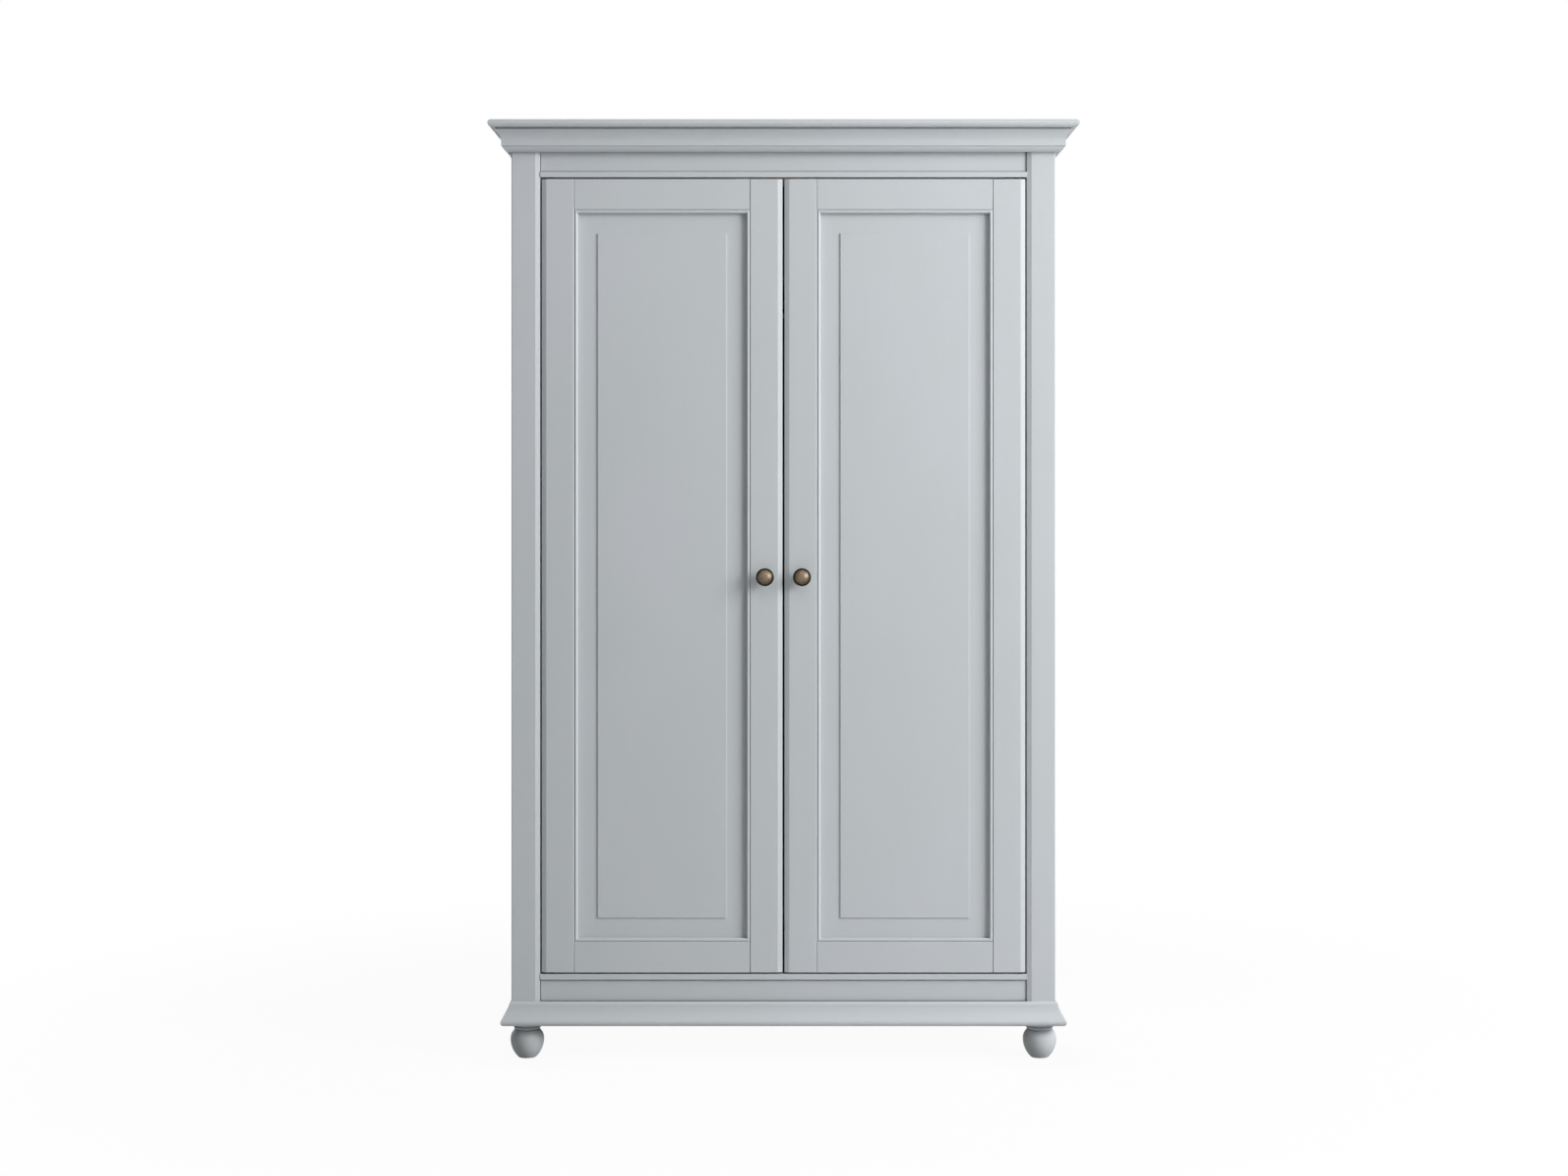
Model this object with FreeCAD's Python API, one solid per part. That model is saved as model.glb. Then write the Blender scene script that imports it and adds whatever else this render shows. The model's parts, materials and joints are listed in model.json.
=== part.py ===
import FreeCAD, Part
import math
import os
from FreeCAD import Vector

# Two-door painted wardrobe. Millimetres, +Z up, the front faces -Y.
# The origin is on the floor, under the middle of the overall box.
# Every piece is made for the right-hand side (+X), and the left one is its mirror image.

# Overall size
overall_width = 1240.0
overall_depth = 600.0
overall_height = 1980.0

# Top board with its rounded nose
top_board_thickness = 18.0
top_board_overhang = 46.0
nose_quirk_shares = ((0.543, 0.0), (0.543, 0.111), (0.87, 0.111))
nose_under_shares = ((0.954, 0.289), (1.0, 0.611))
nose_over_shares = ((0.958, 0.872), (0.865, 1.0))

# Cornice moulding under the top board
cornice_height = 46.5
cornice_reach = 32.5
cornice_back_shares = (0.0, 0.08)
cornice_soffit_shares = (0.262, 0.0)
cornice_ovolo_shares = ((0.418, 0.08), (0.56, 0.224))
cornice_quirk_shares = ((0.535, 0.237), (0.609, 0.254))
cornice_upright_shares = (0.609, 0.548)
cornice_cove_shares = ((0.794, 0.804), (1.0, 0.972))
cornice_rebate_shares = ((0.769, 0.972), (0.769, 1.0))

# Base moulding round the foot of the carcass
base_moulding_height = 49.0
base_moulding_reach = 21.5
base_sole_shares = (0.767, 0.0)
base_nose_shares = ((1.0, 0.147), (0.879, 0.265))
base_flare_shares = ((0.558, 0.441), (0.335, 0.653))
base_fascia_shares = (0.251, 0.786)
base_ovolo_shares = ((0.191, 0.914), (0.037, 1.0))

# Packing behind the front mouldings, short of the edge that shows
packing_setback = 8.0

# Turned bun feet
foot_height = 75.0
foot_ball_radius = 35.5
foot_ball_level = 39.0
foot_ball_height = 58.5
foot_sole_radius = 19.5
foot_shoulder_radius = 27.0
foot_groove_radius = 24.0
foot_groove_height = 2.2
foot_ring_radius = 28.5
foot_ring_height = 5.0
foot_neck_radius = 25.5
foot_setback = 36.0
foot_bolt_radius = 4.0
foot_bolt_length = 60.0
foot_bolt_point = 4.0

# Corner posts
post_width = 60.2
post_depth = 50.0
post_round = 2.0

# Long chamfers on the facing edges of the posts and doors
edge_chamfer_width = 10.0
edge_chamfer_depth = 3.2

# Front rails and strips between the posts
front_rail_thickness = 22.0
front_rail_recess = 6.0
rail_end_gap = 1.5
rail_rebate_height = 1.4
rail_rebate_depth = 4.0
frieze_show = 40.7
plinth_show = 45.0
strip_height = 12.0
strip_recess = 1.0
head_strip_depth = 40.0
threshold_depth = 15.0
strip_arris = 0.8
head_groove_lip = 3.0
head_groove_width = 15.0
head_groove_height = 2.0
head_groove_end_gap = 44.0
same_plane_tolerance = 0.01

# Sides: rails and a panel let into grooves
side_rail_thickness = 30.0
side_rail_upper_height = 110.0
side_panel_thickness = 12.0
side_panel_recess = 8.0
panel_tongue = 8.0

# Back: rails, a middle muntin and two panels let into grooves
back_frame_thickness = 24.0
back_rail_upper_height = 100.0
back_muntin_width = 60.0
back_panel_thickness = 6.0
back_panel_recess = 10.0

# Tenons of the rails
tenon_length = 25.0
tenon_share = 0.35
tenon_shoulder = 10.0

# Inside boards
floor_board_thickness = 18.0
shelf_thickness = 18.0
hat_space_height = 304.0
shelf_front_setback = 3.0
shelf_arris = 1.5
batten_size = 20.0
board_clearance = 0.3

# Hanging rail and its brackets
hanging_rail_radius = 12.5
hanging_rail_wall = 1.5
hanging_rail_drop = 50.0
bracket_flange_radius = 25.0
bracket_flange_thickness = 3.0
bracket_collar_wall = 2.5
bracket_collar_length = 14.0
bracket_clearance = 0.15
bracket_screw_radius = 19.5

# Countersunk wood screws
screw_head_radius = 3.5
screw_head_height = 2.0
screw_radius = 1.75
screw_length = 11.0
screw_point = 3.0

# Doors
door_thickness = 22.0
door_side_gap = 3.2
door_end_gap = 3.6
meeting_gap = 4.2
stile_width = 68.6
door_rail_height = 64.6
quirk_chamfer = 1.2
joint_line_width = 0.7
joint_line_depth = 3.0

# Door panel with its raised field, and the bead around it
panel_recess = 10.0
panel_thickness = 6.0
field_border = 42.0
field_rise = 2.4
field_bevel = 0.3
bead_width = 7.5
bead_crown_drop = 0.3
bead_round_depth = 3.0

# Pivot hinges at the head and foot of each door
pivot_inset = 12.0
pivot_setback = 10.0
pivot_pin_radius = 3.0
pivot_pin_engagement = 10.0
pivot_running_clearance = 0.05
pivot_collar_radius = 4.5
pivot_collar_gap = 0.5
pivot_plate_length = 26.0
pivot_plate_width = 11.0
pivot_plate_thickness = 2.5
pivot_screw_spacing = 17.0
bush_radius = 4.5
bush_length = 12.0
bush_flange_radius = 7.0
bush_flange_thickness = 1.5

# Knobs
knob_radius = 19.0
knob_dome_radius = 15.8
knob_projection = 29.0
knob_dome_height = 8.0
knob_rim_thickness = 3.6
knob_rim_groove = 0.8
knob_back_height = 4.5
knob_neck_radius = 6.0
knob_rose_radius = 9.5
knob_rose_thickness = 2.5
knob_below_middle = 2.3
knob_from_meeting_edge = 36.9
knob_screw_radius = 2.0
knob_screw_bite = 12.0
knob_screw_head_radius = 4.2
knob_screw_head_height = 2.6

# Door stop, magnetic catches and their strike plates
stop_length = 100.0
stop_size = 15.0
stop_clearance = 0.3
catch_body_length = 30.0
catch_body_depth = 14.0
catch_body_height = 14.0
catch_ear_length = 8.0
catch_ear_thickness = 2.0
catch_from_stop = 12.0
strike_length = 34.0
strike_height = 12.0
strike_thickness = 1.5
strike_clearance = 0.3
strike_prong_radius = 1.0
strike_prong_length = 8.0
strike_prong_inset = 5.0
strike_top_margin = 0.8

# Planes and levels that the pieces share
half_width = overall_width / 2 - top_board_overhang
half_opening = half_width - post_width
front = -overall_depth / 2 + top_board_overhang
back = overall_depth / 2
carcass_top = overall_height - top_board_thickness
cornice_low = carcass_top - cornice_height
moulding_top = foot_height + base_moulding_height
front_post_back = front + post_depth
rear_post_front = back - post_depth
head_strip_top = cornice_low - frieze_show
head_strip_low = head_strip_top - strip_height
threshold_low = moulding_top + plinth_show
threshold_top = threshold_low + strip_height
rail_face = front + front_rail_recess
rail_back = rail_face + front_rail_thickness
strip_face = front + strip_recess
floor_low = threshold_top - floor_board_thickness
side_panel_inner = half_width - side_panel_recess - side_panel_thickness
back_panel_inner = back - back_panel_recess - back_panel_thickness
back_frame_inner = back - back_frame_thickness
side_rail_upper_low = carcass_top - side_rail_upper_height
back_rail_upper_low = carcass_top - back_rail_upper_height
shelf_level = carcass_top - hat_space_height
shelf_low = shelf_level - shelf_thickness
hanging_rail_level = shelf_low - hanging_rail_drop
hanging_rail_y = (front + door_thickness + back_frame_inner) / 2
door_outer = half_opening - door_side_gap
door_inner = meeting_gap / 2
door_low = threshold_top + door_end_gap
door_high = head_strip_low - door_end_gap
door_back = front + door_thickness
door_opening_low = door_low + door_rail_height
door_opening_high = door_high - door_rail_height
door_opening_inner = door_inner + stile_width
door_opening_outer = door_outer - stile_width
pivot_x = door_outer - pivot_inset
pivot_y = front + pivot_setback
foot_x = half_width - post_width / 2
front_foot_y = front + foot_setback
rear_foot_y = back - foot_setback
knob_x = door_inner + knob_from_meeting_edge
knob_level = (door_low + door_high) / 2 - knob_below_middle
catch_x = stop_length / 2 + catch_from_stop + catch_body_length / 2
catch_face = door_back + strike_thickness + strike_clearance

UP = Vector(0, 0, 1)
DOWN = Vector(0, 0, -1)
FORWARD = Vector(0, -1, 0)
RIGHT = Vector(1, 0, 0)


def box(x_low, x_high, y_low, y_high, z_low, z_high):
    corner = Vector(x_low, y_low, z_low)
    return Part.makeBox(x_high - x_low, y_high - y_low, z_high - z_low, corner)


def mirrored(shape):
    return shape.mirror(Vector(0, 0, 0), RIGHT)


def outline_face(start, steps):
    """A flat face from a start point and steps: a point for a line, a (middle, end) pair for an arc."""
    edges = []
    here = start
    for step in steps:
        if isinstance(step, tuple):
            middle, end = step
            edges.append(Part.Arc(here, middle, end).toShape())
        else:
            end = step
            edges.append(Part.LineSegment(here, end).toShape())
        here = end
    edges.append(Part.LineSegment(here, start).toShape())
    return Part.Face(Part.Wire(edges))


def plan_prism(points, z_low, z_high):
    """An upright prism over a plan outline of (x, y) points."""
    corners = [Vector(x, y, z_low) for x, y in points]
    face = outline_face(corners[0], corners[1:])
    return face.extrude(Vector(0, 0, z_high - z_low))


def turned(start, steps):
    """A solid of revolution about Z, from an outline of (radius, height) points."""
    def spot(point):
        return Vector(point[0], 0, point[1])
    path = []
    for step in steps:
        if isinstance(step[0], tuple):
            path.append((spot(step[0]), spot(step[1])))
        else:
            path.append(spot(step))
    face = outline_face(spot(start), path)
    full_turn = 360
    return face.revolve(Vector(0, 0, 0), UP, full_turn)


def placed(shape, position, direction):
    """Turn the shape so that its +Z points along the direction, then move it to the position."""
    result = shape.copy()
    result.Placement = FreeCAD.Placement(position, FreeCAD.Rotation(UP, direction))
    return result


def softened(shape, size, chosen):
    """Chamfer the edges for which the test says yes."""
    edges = [edge for edge in shape.Edges if chosen(edge)]
    return shape.makeChamfer(size, edges)


def same_level(one, other):
    return abs(one - other) < same_plane_tolerance


def on_front_face(edge, y_face):
    box_of = edge.BoundBox
    return same_level(box_of.YMin, y_face) and same_level(box_of.YMax, y_face)


def save(name, shape):
    shape.exportStep("parts/" + name + ".step")


def save_group(name, shapes):
    save(name, Part.makeCompound(shapes))


def save_pair(name, right_shape):
    save(name + "_right", right_shape)
    save(name + "_left", mirrored(right_shape))


# Fasteners

def wood_screw():
    """Head face at the origin, the point towards +Z."""
    shank_end = screw_length - screw_point
    return turned((0, 0), [(screw_head_radius, 0), (screw_radius, screw_head_height),
                           (screw_radius, shank_end), (0, screw_length)])


def foot_bolt():
    half = foot_bolt_length / 2
    shank = half - foot_bolt_point
    tip_radius = foot_bolt_radius / 2
    return turned((0, -half), [(tip_radius, -half), (foot_bolt_radius, -shank), (foot_bolt_radius, shank),
                               (tip_radius, half), (0, half)])


def foot_bolts():
    spots = [(foot_x, front_foot_y), (foot_x, rear_foot_y)]
    bolts = [placed(foot_bolt(), Vector(x, y, foot_height), UP) for x, y in spots]
    return bolts + [mirrored(bolt) for bolt in bolts]


def bracket_screws():
    screws = []
    face_x = side_panel_inner - bracket_flange_thickness
    for direction in (-1, 1):
        place = Vector(face_x, hanging_rail_y, hanging_rail_level + direction * bracket_screw_radius)
        screws.append(placed(wood_screw(), place, RIGHT))
    return screws


def pivot_screws():
    screws = []
    for direction in (-1, 1):
        x = pivot_x + direction * pivot_screw_spacing / 2
        screws.append(placed(wood_screw(), Vector(x, pivot_y, head_strip_low), UP))
        screws.append(placed(wood_screw(), Vector(x, pivot_y, threshold_top), DOWN))
    return screws


def catch_screws():
    screws = []
    ear_low = head_strip_low - catch_ear_thickness
    y = catch_face + catch_body_depth / 2
    for direction in (-1, 1):
        x = catch_x + direction * (catch_body_length + catch_ear_length) / 2
        screws.append(placed(wood_screw(), Vector(x, y, ear_low), UP))
    return screws


def carcass_screws():
    right_hand = bracket_screws() + pivot_screws() + catch_screws()
    return right_hand + [mirrored(screw) for screw in right_hand]


def without(shape, cutters):
    """The shape with the cutters taken out of it."""
    return shape.cut(Part.makeCompound(cutters))


# Pivot hinges

def pivot_pin():
    """Plate face at the origin, with the pin standing along +Z."""
    half_length = pivot_plate_length / 2
    half_depth = pivot_plate_width / 2
    collar_height = door_end_gap - pivot_collar_gap
    pin_height = door_end_gap + pivot_pin_engagement
    point = pivot_pin_radius / 3
    plate = box(-half_length, half_length, -half_depth, half_depth, -pivot_plate_thickness, 0)
    pin = turned((0, -pivot_plate_thickness), [
        (pivot_collar_radius, -pivot_plate_thickness), (pivot_collar_radius, collar_height),
        (pivot_pin_radius, collar_height), (pivot_pin_radius, pin_height - point),
        (pivot_pin_radius - point, pin_height), (0, pin_height)])
    return plate.fuse(pin).removeSplitter()


def pivot_pins():
    lower = placed(pivot_pin(), Vector(pivot_x, pivot_y, threshold_top), UP)
    upper = placed(pivot_pin(), Vector(pivot_x, pivot_y, head_strip_low), DOWN)
    screws = pivot_screws()
    pair = [without(pin, screws) for pin in (lower, upper)]
    return pair + [mirrored(pin) for pin in pair]


def bush():
    """Flange face at the origin, the sleeve towards +Z, both bored for the pin."""
    bore = pivot_pin_radius + pivot_running_clearance
    return turned((bore, 0), [
        (bush_flange_radius, 0), (bush_flange_radius, bush_flange_thickness),
        (bush_radius, bush_flange_thickness), (bush_radius, bush_length), (bore, bush_length)])


def bush_pocket():
    """The whole room of a bush, with its bore filled."""
    return turned((0, 0), [
        (bush_flange_radius, 0), (bush_flange_radius, bush_flange_thickness),
        (bush_radius, bush_flange_thickness), (bush_radius, bush_length), (0, bush_length)])


def at_door_ends(shape):
    foot = placed(shape, Vector(pivot_x, pivot_y, door_low), UP)
    head = placed(shape, Vector(pivot_x, pivot_y, door_high), DOWN)
    return [foot, head]


# Carcass frame

def side_panel():
    y_low = front_post_back - panel_tongue
    y_high = rear_post_front + panel_tongue
    z_low = floor_low - panel_tongue
    z_high = side_rail_upper_low + panel_tongue
    return box(side_panel_inner, side_panel_inner + side_panel_thickness, y_low, y_high, z_low, z_high)


def side_rail(z_low, z_high):
    rail = box(half_width - side_rail_thickness, half_width, front_post_back, rear_post_front, z_low, z_high)
    middle = half_width - side_rail_thickness / 2
    half_tenon = side_rail_thickness * tenon_share / 2
    tenon = box(middle - half_tenon, middle + half_tenon, front_post_back - tenon_length,
                rear_post_front + tenon_length, z_low + tenon_shoulder, z_high - tenon_shoulder)
    return rail.fuse(tenon).removeSplitter().cut(side_panel())


def lower_side_rail():
    return side_rail(foot_height, floor_low)


def upper_side_rail():
    return side_rail(side_rail_upper_low, carcass_top)


def front_post():
    """A wide chamfer on the edge beside the door, and the outer edge rounded."""
    inner = half_opening
    outer = half_width
    turn_share = 1 - math.sqrt(0.5)
    bulge = post_round * turn_share
    start = Vector(inner, front + edge_chamfer_depth, foot_height)
    steps = [
        Vector(inner + edge_chamfer_width, front, foot_height),
        Vector(outer - post_round, front, foot_height),
        (Vector(outer - bulge, front + bulge, foot_height), Vector(outer, front + post_round, foot_height)),
        Vector(outer, front_post_back, foot_height),
        Vector(inner, front_post_back, foot_height)]
    post = outline_face(start, steps).extrude(Vector(0, 0, carcass_top - foot_height))
    cutters = [side_panel(), lower_side_rail(), upper_side_rail(), frieze_rail(), plinth_rail()]
    return without(post, cutters + foot_bolts())


def rear_post():
    """Square, with the outer edge at the back rounded like the front post's."""
    post = box(half_opening, half_width, rear_post_front, back, foot_height, carcass_top)
    corner = [edge for edge in post.Edges
              if same_level(edge.BoundBox.XMin, half_width) and same_level(edge.BoundBox.YMin, back)]
    post = post.makeFillet(post_round, corner)
    cutters = [side_panel(), lower_side_rail(), upper_side_rail(), upper_back_rail(), lower_back_rail()]
    cutters += [back_panel()]
    return without(post, cutters + foot_bolts())


def with_end_tenons(rail, half_length, y_low, y_high, z_low, z_high):
    """Add a tenon at each end of a rail that spans between two posts."""
    middle = (y_low + y_high) / 2
    half_tenon = (y_high - y_low) * tenon_share / 2
    reach = half_length + tenon_length
    tenon = box(-reach, reach, middle - half_tenon, middle + half_tenon,
                z_low + tenon_shoulder, z_high - tenon_shoulder)
    return rail.fuse(tenon).removeSplitter()


def rail_rebate(shoulder, z_low):
    """Shadow line along the edge of a rail beside a strip."""
    return box(-shoulder, shoulder, rail_face, rail_face + rail_rebate_depth, z_low, z_low + rail_rebate_height)


def frieze_rail():
    shoulder = half_opening - rail_end_gap
    rail = box(-shoulder, shoulder, rail_face, rail_back, head_strip_top, carcass_top)
    rail = rail.cut(rail_rebate(shoulder, head_strip_top))
    return with_end_tenons(rail, half_opening, rail_face, rail_back, head_strip_top, carcass_top)


def plinth_rail():
    shoulder = half_opening - rail_end_gap
    rail = box(-shoulder, shoulder, rail_face, rail_back, foot_height, threshold_low)
    rail = rail.cut(rail_rebate(shoulder, threshold_low - rail_rebate_height))
    rail = rail.cut(rail_rebate(shoulder, moulding_top - rail_rebate_height))
    rail = with_end_tenons(rail, half_opening, rail_face, rail_back, foot_height, floor_low)
    return rail.cut(floor_board())


def head_strip():
    strip = box(-half_opening, half_opening, strip_face, strip_face + head_strip_depth,
                head_strip_low, head_strip_top)
    strip = softened(strip, strip_arris, lambda edge: on_front_face(edge, strip_face))
    return without(strip, [head_groove()] + pivot_pins() + carcass_screws())


def head_groove():
    """Groove under the head strip, behind its lip, that keeps the gap over the doors dark."""
    half = half_opening - head_groove_end_gap
    y_low = strip_face + head_groove_lip
    return box(-half, half, y_low, y_low + head_groove_width, head_strip_low, head_strip_low + head_groove_height)


def threshold_strip():
    strip = box(-half_opening, half_opening, strip_face, strip_face + threshold_depth,
                threshold_low, threshold_top)
    strip = softened(strip, strip_arris, lambda edge: on_front_face(edge, strip_face))
    return without(strip, pivot_pins() + carcass_screws())


def back_panel():
    """The right-hand back panel, in the grooves of the muntin, the rails and the post."""
    return box(back_muntin_width / 2 - panel_tongue, half_opening + panel_tongue,
               back_panel_inner, back_panel_inner + back_panel_thickness,
               floor_low - panel_tongue, back_rail_upper_low + panel_tongue)


def back_rail(z_low, z_high):
    rail = box(-half_opening, half_opening, back_frame_inner, back, z_low, z_high)
    rail = with_end_tenons(rail, half_opening, back_frame_inner, back, z_low, z_high)
    return without(rail, [back_panel(), mirrored(back_panel())])


def lower_back_rail():
    return back_rail(foot_height, floor_low)


def upper_back_rail():
    return back_rail(back_rail_upper_low, carcass_top)


def back_muntin():
    half = back_muntin_width / 2
    muntin = box(-half, half, back_frame_inner, back, floor_low, back_rail_upper_low)
    return without(muntin, [back_panel(), mirrored(back_panel()), floor_board()])


# Inside boards

def board_between_posts(y_low, z_low, z_high):
    """A board from side panel to side panel, notched round the corner posts."""
    side = side_panel_inner - board_clearance
    board = box(-side, side, y_low, back_frame_inner - board_clearance, z_low, z_high)
    notch_inner = half_opening - board_clearance
    front_notch = box(notch_inner, half_width, front, front_post_back + board_clearance, z_low, z_high)
    rear_notch = box(notch_inner, half_width, rear_post_front - board_clearance, back, z_low, z_high)
    notches = [front_notch, rear_notch]
    return without(board, notches + [mirrored(notch) for notch in notches])


def floor_board():
    return board_between_posts(strip_face + threshold_depth, floor_low, threshold_top)


def hat_shelf():
    shelf = board_between_posts(front_post_back + shelf_front_setback, shelf_low, shelf_level)
    edge_y = front_post_back + shelf_front_setback
    return softened(shelf, shelf_arris, lambda edge: on_front_face(edge, edge_y))


def shelf_battens():
    side = box(side_panel_inner - batten_size, side_panel_inner, front_post_back + shelf_front_setback,
               rear_post_front, shelf_low - batten_size, shelf_low)
    rear = box(-half_opening, half_opening, back_frame_inner - batten_size, back_frame_inner,
               shelf_low - batten_size, shelf_low)
    return [side, mirrored(side), rear]


# Mouldings, mitred at the front corners

def shared_point(shares, reach, height):
    return (shares[0] * reach, shares[1] * height)


def cornice_section():
    """Outline as (reach, height) points, from the carcass face outwards and up; the soffit is undercut."""
    def at(shares):
        return shared_point(shares, cornice_reach, cornice_height)
    return [at(cornice_back_shares),
            at(cornice_soffit_shares),
            (at(cornice_ovolo_shares[0]), at(cornice_ovolo_shares[1])),
            *map(at, cornice_quirk_shares),
            at(cornice_upright_shares),
            (at(cornice_cove_shares[0]), at(cornice_cove_shares[1])),
            *map(at, cornice_rebate_shares),
            (0, cornice_height)]


def base_section():
    def at(shares):
        return shared_point(shares, base_moulding_reach, base_moulding_height)
    return [(0, 0),
            at(base_sole_shares),
            (at(base_nose_shares[0]), at(base_nose_shares[1])),
            (at(base_flare_shares[0]), at(base_flare_shares[1])),
            at(base_fascia_shares),
            (at(base_ovolo_shares[0]), at(base_ovolo_shares[1])),
            (0, base_moulding_height)]


def section_face(section, place):
    steps = []
    for step in section[1:]:
        if isinstance(step[0], tuple):
            steps.append((place(step[0]), place(step[1])))
        else:
            steps.append(place(step))
    return outline_face(place(section[0]), steps)


def front_length(section, z_low, reach, height):
    end = half_width + reach
    face = section_face(section, lambda point: Vector(-end, front - point[0], z_low + point[1]))
    bar = face.extrude(Vector(end + end, 0, 0))
    mitred = plan_prism([(-half_width, front), (half_width, front), (end, front - reach),
                         (-end, front - reach)], z_low, z_low + height)
    return bar.common(mitred)


def front_moulding(section, z_low, reach, height, packing_low):
    """The front length, with a packing behind it that reaches back to the rail between the posts."""
    packing = box(-half_opening, half_opening, front, rail_face, packing_low,
                  packing_low + height - packing_setback)
    return front_length(section, z_low, reach, height).fuse(packing).removeSplitter()


def side_moulding(section, z_low, reach, height):
    face = section_face(section, lambda point: Vector(half_width + point[0], front - reach, z_low + point[1]))
    bar = face.extrude(Vector(0, back - front + reach, 0))
    mitred = plan_prism([(half_width, front), (half_width + reach, front - reach),
                         (half_width + reach, back), (half_width, back)], z_low, z_low + height)
    return bar.common(mitred)


def nose_section():
    """Outline of the top board's nose as (reach, height) points, from its quirk to the upper face."""
    def at(shares):
        return shared_point(shares, top_board_overhang, top_board_thickness)
    return [(0, 0),
            *map(at, nose_quirk_shares),
            (at(nose_under_shares[0]), at(nose_under_shares[1])),
            (at(nose_over_shares[0]), at(nose_over_shares[1])),
            (0, top_board_thickness)]


def top_board():
    """A board with a nose along the front and both ends, mitred at the front corners."""
    board = box(-half_width, half_width, front, back, carcass_top, overall_height)
    board = board.fuse(front_length(nose_section(), carcass_top, top_board_overhang, top_board_thickness))
    end_nose = side_moulding(nose_section(), carcass_top, top_board_overhang, top_board_thickness)
    return board.fuse([end_nose, mirrored(end_nose)]).removeSplitter()


# Feet

def arc_from_widest(widest, end):
    """Middle of the arc that leaves the widest point upright and runs to the end point."""
    width = widest[0] - end[0]
    height = end[1] - widest[1]
    radius = (width * width + height * height) / (width + width)
    centre = widest[0] - radius
    half_turn = math.asin(height / radius) / 2
    return (centre + radius * math.cos(half_turn), widest[1] + radius * math.sin(half_turn))


def bun_foot():
    widest = (foot_ball_radius, foot_ball_level)
    sole = (foot_sole_radius, 0)
    shoulder = (foot_shoulder_radius, foot_ball_height)
    groove_top = foot_ball_height + foot_groove_height
    ring_top = groove_top + foot_ring_height
    ring_middle = (groove_top + ring_top) / 2
    return turned((0, 0), [
        sole,
        (arc_from_widest(widest, sole), widest),
        (arc_from_widest(widest, shoulder), shoulder),
        (foot_groove_radius, foot_ball_height),
        (foot_groove_radius, groove_top),
        (foot_neck_radius, groove_top),
        ((foot_ring_radius, ring_middle), (foot_neck_radius, ring_top)),
        (foot_neck_radius, foot_height),
        (0, foot_height)])


def foot_at(y):
    return placed(bun_foot(), Vector(foot_x, y, 0), UP).cut(Part.makeCompound(foot_bolts()))


# Hanging rail

def hanging_rail():
    end = side_panel_inner - bracket_flange_thickness
    left_end = Vector(-end, hanging_rail_y, hanging_rail_level)
    bar = Part.makeCylinder(hanging_rail_radius, end + end, left_end, RIGHT)
    bore = Part.makeCylinder(hanging_rail_radius - hanging_rail_wall, end + end, left_end, RIGHT)
    return bar.cut(bore)


def rail_bracket():
    """Round flange on the side panel with a collar that holds the rail's end."""
    bore = hanging_rail_radius + bracket_clearance
    collar = bore + bracket_collar_wall
    collar_end = bracket_flange_thickness + bracket_collar_length
    bracket = turned((0, 0), [
        (bracket_flange_radius, 0), (bracket_flange_radius, bracket_flange_thickness),
        (collar, bracket_flange_thickness), (collar, collar_end), (bore, collar_end),
        (bore, bracket_flange_thickness), (0, bracket_flange_thickness)])
    bracket = placed(bracket, Vector(side_panel_inner, hanging_rail_y, hanging_rail_level), -RIGHT)
    return without(bracket, bracket_screws())


# Stop and catches

def door_stop():
    half = stop_length / 2
    y_low = door_back + stop_clearance
    return box(-half, half, y_low, y_low + stop_size, head_strip_low - stop_size, head_strip_low)


def magnetic_catch():
    half = catch_body_length / 2
    y_high = catch_face + catch_body_depth
    body = box(catch_x - half, catch_x + half, catch_face, y_high,
               head_strip_low - catch_body_height, head_strip_low)
    reach = half + catch_ear_length
    ears = box(catch_x - reach, catch_x + reach, catch_face, y_high,
               head_strip_low - catch_ear_thickness, head_strip_low)
    return without(body.fuse(ears).removeSplitter(), catch_screws())


# Doors

def upright(x_outer, x_inner):
    """A stile of the right door: a wide chamfer on its free edge and a small one beside the panel."""
    away = 1 if x_inner > x_outer else -1
    points = [
        (x_outer, front + edge_chamfer_depth),
        (x_outer + away * edge_chamfer_width, front),
        (x_inner - away * quirk_chamfer, front),
        (x_inner, front + quirk_chamfer),
        (x_inner, door_back),
        (x_outer, door_back)]
    return plan_prism(points, door_low, door_high)


def door_rail(z_low, z_high, panel_edge):
    """A rail with small chamfers and a shadow line at its ends, and a tenon at each end."""
    rail = box(door_opening_inner, door_opening_outer, front, door_back, z_low, z_high)

    def beside_panel_or_end(edge):
        bounds = edge.BoundBox
        at_end = not same_level(bounds.ZMin, bounds.ZMax)
        beside_panel = same_level(bounds.ZMin, panel_edge)
        return (at_end or beside_panel) and on_front_face(edge, front)
    rail = softened(rail, quirk_chamfer, beside_panel_or_end)
    line_back = front + joint_line_depth
    lines = [box(door_opening_inner, door_opening_inner + joint_line_width, front, line_back, z_low, z_high),
             box(door_opening_outer - joint_line_width, door_opening_outer, front, line_back, z_low, z_high)]
    rail = without(rail, lines)
    middle = (front + door_back) / 2
    half_tenon = door_thickness * tenon_share / 2
    tenon = box(door_opening_inner - tenon_length, door_opening_outer + tenon_length,
                middle - half_tenon, middle + half_tenon, z_low + tenon_shoulder, z_high - tenon_shoulder)
    return rail.fuse(tenon).removeSplitter().cut(door_panel())


def door_top_rail():
    return door_rail(door_opening_high, door_high, door_opening_high)


def door_bottom_rail():
    return door_rail(door_low, door_opening_low, door_opening_low)


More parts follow.
